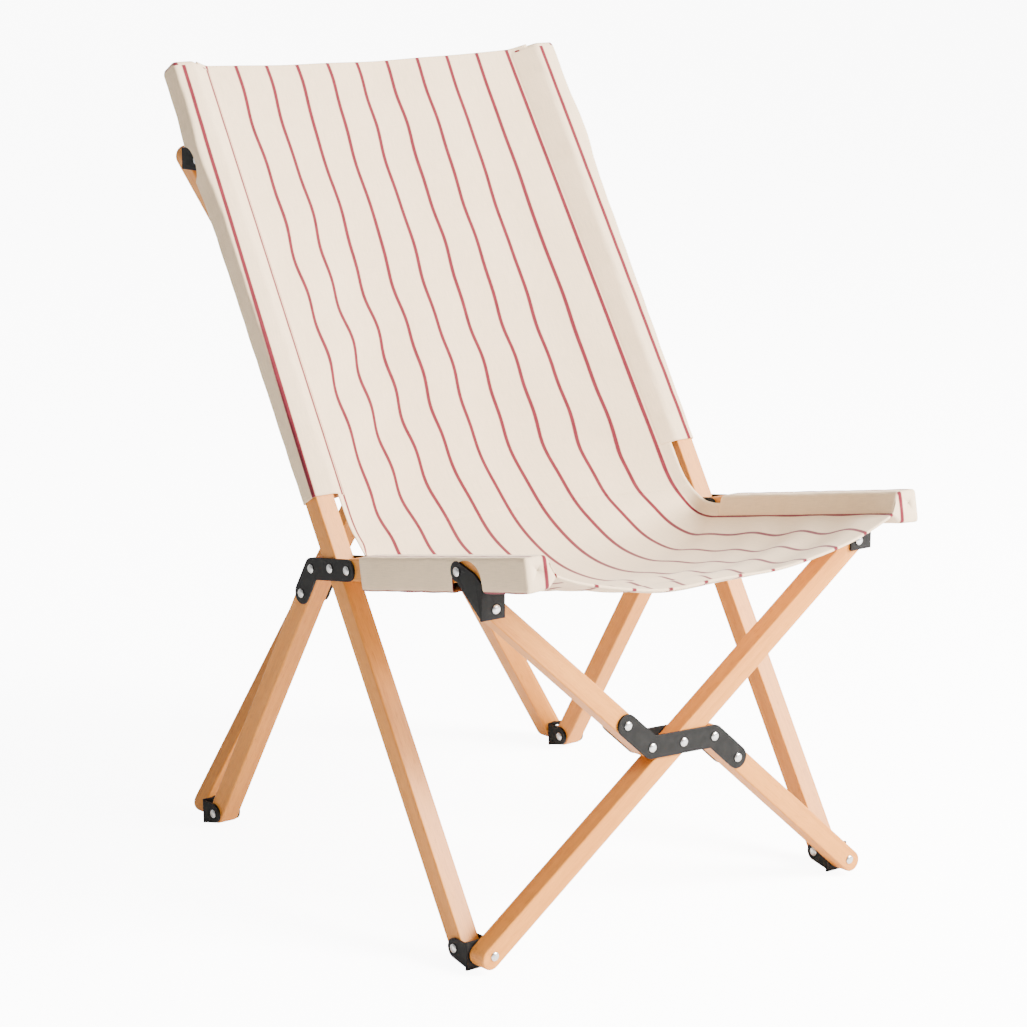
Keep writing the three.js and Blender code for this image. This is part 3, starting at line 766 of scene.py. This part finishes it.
SEAT_ARCH = (0.026, 0.035, 0.011)        # the same at the seat bracket
ARCH_REACH = 0.06                # an arch's cut, each way along the bar's width
SEAT_ARCH_PAST = 0.015           # the arch's middle, in front of the seat bracket's pin
SEAM_SHIFT = 0.003               # the back's cloth lies this far off centre, to the right
SEAT_SHIFT = -0.004              # the same on the seat


def on_post(t):
    """(y, z) of the point at t up the posts' front face."""
    return (FOOT + POST_UP * t + POST_FRONT * FACE)[1:]


def on_rail(s):
    """(y, z) of the point at s out along the rails' top face."""
    return (RAIL_PIN + RAIL_OUT * s + RAIL_UP * FACE)[1:]


def crotch():
    """Where the posts' front line and the rails' top line cross, as (t up the post, s along the rail)."""
    lines = np.stack([POST_UP[1:], -RAIL_OUT[1:]], axis=1)
    return np.linalg.solve(lines, on_rail(0) - on_post(0))


def edge_line(rows, high, low):
    """A line in (y, z) from the top down the posts' fronts, round a bend, and out along the rails.

    The bend is a quadratic curve that starts high above the crossing of the two straight lines,
    ends low beyond it, and is drawn towards the crossing.
    """
    count_back, count_bend, count_seat = rows
    t0, s0 = crotch()
    back = np.array([on_post(t) for t in np.linspace(POST_TOP_AT, t0 + high, count_back + 1)])
    w = np.linspace(0, 1, count_bend + 1)[1:, None]
    bend = (1 - w) ** 2 * on_post(t0 + high) + 2 * w * (1 - w) * on_post(t0) + w ** 2 * on_rail(s0 + low)
    seat = np.array([on_rail(s) for s in np.linspace(s0 + low, SEAT_END, count_seat + 1)[1:]])
    return np.concatenate([back, bend, seat])


def smooth_step(x, low, high):
    """0 below low, 1 above high, and smooth between."""
    t = np.clip((x - low) / (high - low), 0, 1)
    return t * t * (3 - 2 * t)


def smoothed(values, reach):
    """Values averaged over a smooth window of reach rows each way; the ends keep their slope."""
    kernel = np.hanning(2 * reach + 3)[1:-1]
    ahead = 2 * values[0] - values[reach:0:-1]
    after = 2 * values[-1] - values[-2:-reach - 2:-1]
    return np.convolve(np.concatenate([ahead, values, after]), kernel / kernel.sum(), mode="valid")


def headings(line):
    """Unit direction along a line of (y, z) points, and the direction away from the sitter."""
    ahead = np.gradient(line, axis=0)
    ahead /= np.linalg.norm(ahead, axis=1)[:, None]
    return ahead, np.stack([-ahead[:, 1], ahead[:, 0]], axis=1)


def hem(grid, cloth_map, sign):
    """Rows that turn under past the last row of a sheet: half a circle, then a flat return below it."""
    last = grid[-1]
    ahead = last - grid[-2]
    ahead[:, 0] = 0
    ahead /= np.linalg.norm(ahead, axis=1)[:, None]
    away = sign * np.stack([ahead[:, 0], -ahead[:, 2], ahead[:, 1]], axis=1)
    phi = np.linspace(0, math.pi, 9)[1:, None, None]
    turn = last + HEM_RADIUS * (np.sin(phi) * ahead + (1 - np.cos(phi)) * away)
    d = np.linspace(0, HEM_DEPTH, 6)[1:, None, None]
    flat = last + 2 * HEM_RADIUS * away - d * ahead
    extra = np.concatenate([turn, flat])
    steps = np.concatenate([phi[:, 0, 0] * HEM_RADIUS, math.pi * HEM_RADIUS + d[:, 0, 0]])
    shift = np.sign(cloth_map[-1, 0, 1] - cloth_map[-2, 0, 1]) * steps
    extra_map = np.repeat(cloth_map[-1:], len(extra), axis=0)
    extra_map[..., 1] += shift[:, None]
    return np.concatenate([grid, extra]), np.concatenate([cloth_map, extra_map])


def sling_surface(columns, rows):
    """The sheet from free edge to free edge as rows of points, and its cloth map.

    Between the seams a row goes from the seam's line to the middle's line by a rounded parabola
    of the share across, with soft folds that die out at the seams. Outside each seam it runs on
    straight towards the bar's corner. The middle's line is the smooth edge line moved away by
    the sag; the seams' line bends more tightly and lies a little behind the bars' faces.
    """
    cloth = bpy.context.scene.chair_canvas
    corner = edge_line(rows, *BACK_BEND)
    middle_line = edge_line(rows, *MIDDLE_BEND)
    run = np.concatenate([[0.0], np.cumsum(np.linalg.norm(np.diff(middle_line, axis=0), axis=1))])
    bend_at, seat_at = run[rows[0]], run[rows[0] + rows[1]]
    mid_bend = (bend_at + seat_at) / 2
    knots = (0.0, 0.30 * run[-1], bend_at, mid_bend, seat_at, run[-1])
    sag = smoothed(np.interp(run, knots, (cloth.top_sag, *BACK_SAG, cloth.front_sag)), 14)
    middle_line = middle_line + headings(middle_line)[1] * sag[:, None]
    away = headings(corner)[1]
    to_seat = smooth_step(run, mid_bend - 0.02, mid_bend + 0.05)
    down = np.clip(run / bend_at, 0, 1)
    seam_in, seam_deep = ((t + (b - t) * down) * (1 - to_seat) + s * to_seat
                          for t, b, s in zip(TOP_SEAM, BACK_SEAM, SEAT_SEAM))
    seam_deep = smoothed(seam_deep, 5)
    seam_x = SIDE_X - seam_in
    seam_line = corner + away * seam_deep[:, None]

    u = np.linspace(-1, 1, columns + 1)
    flange = np.linspace(0, 1, 6)[1:]
    across = np.concatenate([-1 - flange[::-1], u, 1 + flange])
    uu, rr = np.meshgrid(across, run)
    inside = np.clip(uu, -1, 1)
    share = 1 - np.abs(inside) ** 2.3
    calm = 1 - inside ** 8
    vv = rr / run[-1]
    patchy = 0.55 + 0.45 * np.sin(3.3 * inside - 9.0 * vv + 0.9) * np.cos(2.1 * inside + 4.0 * vv)
    fold = 0.0008 * patchy * np.sin(rr * 78.0 + 2.6 * inside)
    fold += 0.0008 * np.sin(rr * 43.0 - 4.0 * inside + 1.0)
    fold += 0.0030 * smooth_step(vv, 0.60, 0.80) * patchy * np.sin(rr * 90.0 + 3.1 * inside + 0.7)
    fold += 0.0014 * np.sin(9.0 * inside + 5.0 * vv + 0.6) * np.cos(6.0 * vv - 2.0 * inside)
    side_way = 1 - 0.5 * smooth_step(inside, -0.4, 0.6)
    slide = 0.0025 * side_way * patchy * np.sin(rr * 81.0 + 1.9 * inside + 0.4)
    slide += 0.0012 * side_way * np.sin(rr * 36.0 - 3.0 * inside)
    middle_away = headings(middle_line)[1]
    grid = np.empty((*uu.shape, 3))
    grid[..., 0] = inside * seam_x[:, None] + slide * calm
    for k in (0, 1):
        line = seam_line[:, k][:, None] * (1 - share) + middle_line[:, k][:, None] * share
        grid[..., k + 1] = line + middle_away[:, k][:, None] * fold * calm
    wall = WALL_SHARE * np.clip(np.abs(uu) - 1, 0, 1)
    on_back = 1 - smooth_step(rr, bend_at - 0.075, bend_at + 0.01)
    on_seat = smooth_step(rr, mid_bend + 0.02, mid_bend + 0.06)
    under = MOUTH_OVER * np.maximum(on_back, on_seat)
    grid[..., 0] += np.sign(uu) * wall * (SIDE_X - FACE - seam_x)[:, None]
    for k in (0, 1):
        grid[..., k + 1] -= wall * (away[:, k] * seam_deep)[:, None]
        grid[..., k + 1] += np.clip(wall * 4, 0, 1) * under * away[:, k][:, None]
    reach = STRIPES_TO_SEAM * cloth.stripe_step
    cloth_map = np.empty((*uu.shape, 2))
    shift = SEAM_SHIFT + (SEAT_SHIFT - SEAM_SHIFT) * smooth_step(run, bend_at, seat_at)[:, None] * calm
    beyond = np.hypot(SIDE_X - FACE - seam_x, seam_deep)[:, None]
    cloth_map[..., 0] = shift + inside * reach + np.sign(uu) * wall * beyond
    cloth_map[..., 1] = rr
    return grid, cloth_map


def grid_faces(rows, columns):
    """Quads of a grid of rows by columns points."""
    i = np.arange(rows - 1)[:, None] * columns
    j = np.arange(columns - 1)[None, :]
    corners = [i + j, i + j + 1, i + columns + j + 1, i + columns + j]
    return np.stack(corners, axis=-1).reshape(-1, 4).tolist()


def set_cloth_map(thing, coordinates):
    """Writes the cloth map, one pair of metres for each point, to every face corner."""
    layer = thing.data.uv_layers.new(name="cloth")
    corner = np.empty(len(thing.data.loops), dtype=np.int32)
    thing.data.loops.foreach_get("vertex_index", corner)
    layer.data.foreach_set("uv", np.asarray(coordinates, dtype=np.float32).reshape(-1, 2)[corner].ravel())


def thicken(thing, thickness):
    """Gives a sheet its thickness, half on each side."""
    modifier = thing.modifiers.new("thickness", "SOLIDIFY")
    modifier.thickness = thickness
    modifier.offset = 0.0


def squash_across(thing):
    """Gives the piece its own copy of its mesh.
    """
    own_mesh(thing)


class CHAIR_OT_sling(bpy.types.Operator):
    """Makes the back and the seat of the sling, which meet low on the back"""
    bl_idname = "chair.make_sling"
    bl_label = "Sling"

    def execute(self, context):
        rows = (110, 60, 70)
        grid, cloth_map = sling_surface(140, rows)
        meet = rows[0] + 22
        back, back_map = hem(grid[meet::-1], cloth_map[meet::-1], -1)
        lap = grid[meet - 2:].copy()
        away = headings(grid[meet - 3:meet + 3, grid.shape[1] // 2, 1:])[1][2]
        lap[:2, :, 1:] += away * np.array([0.0003, 0.00012])[:, None, None]
        seat, seat_map = hem(lap, cloth_map[meet - 2:], 1)
        for name, body, points, places, node, flip in (
                ("back_canvas", "left_post", back, back_map, "back_panel", True),
                ("seat_canvas", "left_seat_rail", seat, seat_map, "seat_panel", False)):
            faces = np.array(grid_faces(*points.shape[:2]))
            faces = faces[:, ::-1] if flip else faces
            sheet = piece(name, points.reshape(-1, 3), faces.tolist(), "canvas", "canvas", body, [node], 60)
            set_cloth_map(sheet, places)
            thicken(sheet, context.scene.chair_canvas.thickness)
            squash_across(sheet)
        return {"FINISHED"}


def rounded_loop(corners, radius, steps=4):
    """A closed outline through corners, each cut by a curve from radius before it to radius after it."""
    corners = np.asarray(corners, dtype=float)
    before = corners - np.roll(corners, 1, axis=0)
    after = np.roll(corners, -1, axis=0) - corners
    run_in = np.minimum(radius, 0.45 * np.linalg.norm(before, axis=1))[:, None]
    run_out = np.minimum(radius, 0.45 * np.linalg.norm(after, axis=1))[:, None]
    a = corners - before / np.linalg.norm(before, axis=1)[:, None] * run_in
    b = corners + after / np.linalg.norm(after, axis=1)[:, None] * run_out
    t = np.linspace(0, 1, steps + 1)[None, :, None]
    curve = (1 - t) ** 2 * a[:, None] + 2 * t * (1 - t) * corners[:, None] + t ** 2 * b[:, None]
    return curve.reshape(-1, 2)


def sleeve_loop(seam, drop):
    """A sleeve's section: from its seam over the bar's face, down its outside, under it and back."""
    f = FACE
    corners = [(-seam[0], f - seam[1]), (-f, f), (f, f), (f, -f - drop),
               (-f + 0.001, -f - drop + 0.002), (-seam[0] - 0.0004, f - seam[1] - 0.0022)]
    return rounded_loop(corners, 0.0045, 5)


def make_sleeve(name, body, node, side, frame_of, span, seams, drop, rows, first_stripe, cap,
                cap_stripe, bulge_at=None):
    """A sleeve round a bar: its section carried along it, times 1 plus small ripples.

    The section changes evenly from the one at the low end to the one at the high end, and the
    high end is closed by drawing the section in over a cap of the given depth.
    frame_of is the bar's start, direction and face. first_stripe is from the seam to the first
    stripe round the sleeve, and cap_stripe is how far inboard of the bar's centre a stripe
    crosses the cap. With bulge_at the outside swells there by a bell curve, over the bracket.
    """
    cloth = bpy.context.scene.chair_canvas
    origin, along, face = frame_of
    low, high = (sleeve_loop(seam, drop) for seam in seams)
    count = len(low)
    t = np.linspace(*span, rows + 1)
    w = np.linspace(0, 1, rows + 1)[:, None, None]
    loop = low[None] * (1 - w) + high[None] * w
    ring = np.arange(count)[None]
    ripple = 0.035 * np.sin(t[:, None] * 83.0 + ring * 0.35) + 0.02 * np.sin(t[:, None] * 37.0 - ring * 0.5)
    free = smooth_step(-low[:, 0], FACE * 0.9, BACK_SEAM[0])[None]
    out = loop * (1 + np.abs(ripple) * 0.55 * (1 - free))[..., None]
    if bulge_at is not None:
        bell = np.exp(-((t - bulge_at) / BULGE_SPREAD) ** 2)[:, None]
        out[..., 0] += BULGE * bell * smooth_step(loop[..., 0], 0.6 * FACE, 0.98 * FACE)
    ends = [(0.0, 0.9996), (0.25 * cap, 0.975), (0.54 * cap, 0.94), (0.80 * cap, 0.88),
            (0.95 * cap, 0.6), (cap, 0.04)]
    shape = np.concatenate([out, *[out[-1:] * k for _, k in ends]])
    t = np.concatenate([t, [span[1] + d for d, _ in ends]])
    grid = mirrored(origin, side) + t[:, None, None] * along
    grid = grid + shape[..., :1] * side * X_AXIS + shape[..., 1:] * face
    i = np.arange(len(t) - 1)[:, None] * count
    j = np.arange(count)[None]
    k = (j + 1) % count
    quads = np.stack([i + j, i + count + j, i + count + k, i + k], axis=-1).reshape(-1, 4)
    if side < 0:
        quads = quads[:, ::-1]
    sleeve = piece(name, grid.reshape(-1, 3), quads.tolist(), "canvas", "canvas", body, [node], 60)
    steps = np.linalg.norm(np.diff(loop, axis=1), axis=2)
    around = np.concatenate([np.zeros((len(w), 1)), np.cumsum(steps, axis=1)], axis=1)
    flat = cloth.stripe_step * -STRIPES_TO_SEAM + first_stripe + shape[-len(ends):, :, 0] + cap_stripe
    around = np.concatenate([around, flat - cloth.stripe_step])
    u = side * (cloth.stripe_step * (STRIPES_TO_SEAM + 1) - first_stripe + around)
    set_cloth_map(sleeve, np.stack([u, np.broadcast_to(t[:, None], u.shape)], axis=-1))
    thicken(sleeve, cloth.thickness)
    return sleeve


def carve(thing, cutter):
    """Cuts the cutter out of a piece and removes the cutter."""
    modifier = thing.modifiers.new("cut", "BOOLEAN")
    modifier.operation = "DIFFERENCE"
    modifier.solver = "EXACT"
    modifier.object = cutter
    bpy.context.view_layer.update()
    graph = bpy.context.evaluated_depsgraph_get()
    mesh = bpy.data.meshes.new_from_object(thing.evaluated_get(graph), preserve_all_data_layers=True,
                                           depsgraph=graph)
    thing.modifiers.clear()
    thing.data = mesh
    bpy.data.objects.remove(cutter)


def arch_cutter(centre, along, outward, axis, half_width, depth, low, high):
    """A block with a half-round head: an arch's outline carried along axis from low to high."""
    t = np.linspace(0, math.pi, 25)
    head = np.stack([half_width * np.cos(t), depth + 0.8 * half_width * (np.sin(t) - 1)], axis=1)
    outline = np.concatenate([head, [[-half_width * 1.15, -0.03], [half_width * 1.15, -0.03]]])
    rings = [centre + outline[:, :1] * along + outline[:, 1:] * outward + h * axis for h in (low, high)]
    points = np.concatenate(rings)
    mesh = bpy.data.meshes.new("cutter")
    mesh.from_pydata(points.tolist(), [], ring_faces(2, len(outline)))
    form = bmesh.new()
    form.from_mesh(mesh)
    bmesh.ops.recalc_face_normals(form, faces=form.faces)
    form.to_mesh(mesh)
    form.free()
    thing = bpy.data.objects.new("cutter", mesh)
    bpy.context.scene.collection.objects.link(thing)
    return thing


def cut_arch(sleeve, base, along, outward, side, arch):
    """Cuts an arch out of a sleeve's edge, deep in its outer wall and shallow in its inner wall."""
    half_width, *depths = arch
    for inner, depth in zip((0.0, -ARCH_REACH), depths):
        carve(sleeve, arch_cutter(base, along, outward, side * X_AXIS, half_width, depth, inner,
                                  inner + ARCH_REACH))


class CHAIR_OT_sleeves(bpy.types.Operator):
    """Makes the four sleeves, cut away round the brackets"""
    bl_idname = "chair.make_sleeves"
    bl_label = "Sleeves"

    def execute(self, context):
        post = (FOOT, POST_UP, POST_FRONT)
        rail = (RAIL_PIN, RAIL_OUT, RAIL_UP)
        bracket_at = float(np.dot(TOP_PIN - FOOT, POST_UP))
        for word, side in SIDES:
            name = f"{word}_back_sleeve"
            sleeve = make_sleeve(name + "_canvas", f"{word}_post", name, side, post,
                                 (BACK_LOW, POST_TOP_AT - POST_CAP), (BACK_SEAM, TOP_SEAM), 0.0, 170,
                                 FIRST_STRIPE[word], POST_CAP, 0.035, bracket_at)
            base = mirrored(TOP_PIN, side) - POST_FRONT * (FACE + 0.002)
            cut_arch(sleeve, base, POST_UP, POST_FRONT, side, TOP_ARCH)
            name = f"{word}_seat_sleeve"
            sleeve = make_sleeve(name + "_canvas", f"{word}_seat_rail", name, side, rail,
                                 (SEAT_LOW, SEAT_END - SLEEVE_SHORT), (SEAT_SEAM, SEAT_SEAM), SEAT_DROP,
                                 100, FIRST_STRIPE["seat"], RAIL_CAP, 0.80 * FACE)
            base = mirrored(SEAT_PIN, side) + RAIL_OUT * SEAT_ARCH_PAST - RAIL_UP * (FACE + SEAT_DROP)
            cut_arch(sleeve, base, RAIL_OUT, RAIL_UP, side, SEAT_ARCH)
        return {"FINISHED"}


# ------------------------------------------------------------------ stage
class CHAIR_OT_stage(bpy.types.Operator):
    """Makes the pale floor, soft lights and camera"""
    bl_idname = "chair.make_stage"
    bl_label = "Stage"

    def execute(self, context):
        scene = context.scene
        stage = scene.chair_stage
        self.floor(scene)
        self.lights(scene)
        camera = bpy.data.cameras.new("camera")
        camera.lens = stage.lens
        camera.sensor_width = 36.0
        camera.clip_end = 100.0
        a, e, r = stage.azimuth, stage.elevation, stage.roll
        right = np.array([math.cos(a), math.sin(a), 0.0])
        level = np.array([-math.sin(a), math.cos(a), 0.0])
        forward = level * math.cos(e) - np.array([0.0, 0.0, math.sin(e)])
        up = np.cross(right, forward)
        turned_right = right * math.cos(r) + up * math.sin(r)
        turned_up = up * math.cos(r) - right * math.sin(r)
        matrix = np.eye(4)
        matrix[:3] = np.stack([turned_right, turned_up, -forward, stage.place], axis=1)
        thing = bpy.data.objects.new("camera", camera)
        thing.matrix_world = Matrix(matrix.tolist())
        scene.collection.objects.link(thing)
        scene.camera = thing
        return {"FINISHED"}

    def floor(self, scene):
        """A large pale floor that curves up far behind: a quarter circle, then upright."""
        radius = 6.0
        turn = np.linspace(0.15, 1, 10) * math.pi / 2
        y = np.concatenate([[-2 * radius, radius], radius + radius * np.sin(turn), [2 * radius]])
        z = np.concatenate([[0.0, 0.0], radius - radius * np.cos(turn), [14.0]])
        x = np.array([-14.0, 14.0])
        points = np.stack([np.tile(x, len(y)), np.repeat(y, 2), np.repeat(z, 2)], axis=1)
        mesh = bpy.data.meshes.new("floor")
        mesh.from_pydata(points.tolist(), [], grid_faces(len(y), 2))
        mesh.polygons.foreach_set("use_smooth", [True] * len(mesh.polygons))
        material, add, shader, tree = new_material("pale_floor")
        shader.inputs["Base Color"].default_value = (0.94, 0.94, 0.94, 1)
        shader.inputs["Emission Color"].default_value = (1.0, 1.0, 1.0, 1)
        seen = add("ShaderNodeLightPath").outputs["Is Camera Ray"]
        glow = maths(add, "MULTIPLY_ADD", seen, 9.0, 0.12)
        tree.links.new(glow, shader.inputs["Emission Strength"])
        shader.inputs["Roughness"].default_value = 0.9
        mesh.materials.append(material)
        thing = bpy.data.objects.new("floor", mesh)
        scene.collection.objects.link(thing)

    def lights(self, scene):
        """A pale sky, a large soft key from the right front, and a soft light above."""
        world = bpy.data.worlds.new("sky")
        world.use_nodes = True
        tree = world.node_tree
        background = tree.nodes["Background"]
        background.inputs["Color"].default_value = (1.0, 1.0, 1.0, 1)
        strength = tree.nodes.new("ShaderNodeMath")
        strength.operation = "MULTIPLY_ADD"
        tree.links.new(tree.nodes.new("ShaderNodeLightPath").outputs["Is Camera Ray"], strength.inputs[0])
        strength.inputs[1].default_value = 10.0
        strength.inputs[2].default_value = 0.43
        tree.links.new(strength.outputs["Value"], background.inputs["Strength"])
        scene.world = world
        for name, place, size, power, tint in (
                ("key", (2.6, -3.2, 2.6), 2.2, 1120.0, (1.0, 0.98, 0.95)),
                ("top", (0.6, -1.2, 4.5), 3.0, 130.0, (1.0, 1.0, 1.0))):
            light = bpy.data.lights.new(name, "AREA")
            light.size = size
            light.energy = power
            light.color = tint
            thing = bpy.data.objects.new(name, light)
            away = unit(np.array(place) - np.array([0.0, 0.0, 0.4]))
            side = unit(np.cross([0.0, 0.0, 1.0], away))
            matrix = np.eye(4)
            matrix[:3] = np.stack([side, np.cross(away, side), away, place], axis=1)
            thing.matrix_world = Matrix(matrix.tolist())
            scene.collection.objects.link(thing)


# ------------------------------------------------------------------ panel and registration
OPERATORS = (CHAIR_OT_bars, CHAIR_OT_plates, CHAIR_OT_brackets, CHAIR_OT_rivets, CHAIR_OT_sling,
             CHAIR_OT_sleeves, CHAIR_OT_stage)


class CHAIR_PT_panel(bpy.types.Panel):
    """Lists the chair's pieces in the sidebar"""
    bl_label = "Folding camp chair"
    bl_idname = "CHAIR_PT_panel"
    bl_space_type = "VIEW_3D"
    bl_region_type = "UI"
    bl_category = "Chair"

    def draw(self, context):
        for operator in OPERATORS:
            self.layout.operator(operator.bl_idname)
        for name in GROUPS:
            settings = getattr(context.scene, name)
            for key in settings.__annotations__:
                self.layout.prop(settings, key)


def register():
    """Adds the settings, the operators and the panel to Blender."""
    for name, group in GROUPS.items():
        bpy.utils.register_class(group)
        setattr(bpy.types.Scene, name, bpy.props.PointerProperty(type=group))
    for cls in (*OPERATORS, CHAIR_PT_panel):
        bpy.utils.register_class(cls)


def unregister():
    """Takes them away again."""
    for cls in reversed((*OPERATORS, CHAIR_PT_panel)):
        bpy.utils.unregister_class(cls)
    for name, group in GROUPS.items():
        delattr(bpy.types.Scene, name)
        bpy.utils.unregister_class(group)


def main():
    """Builds every piece and the stage."""
    register()
    for operator in OPERATORS:
        group, name = operator.bl_idname.split(".")
        getattr(getattr(bpy.ops, group), name)()


if __name__ == "__main__":
    main()
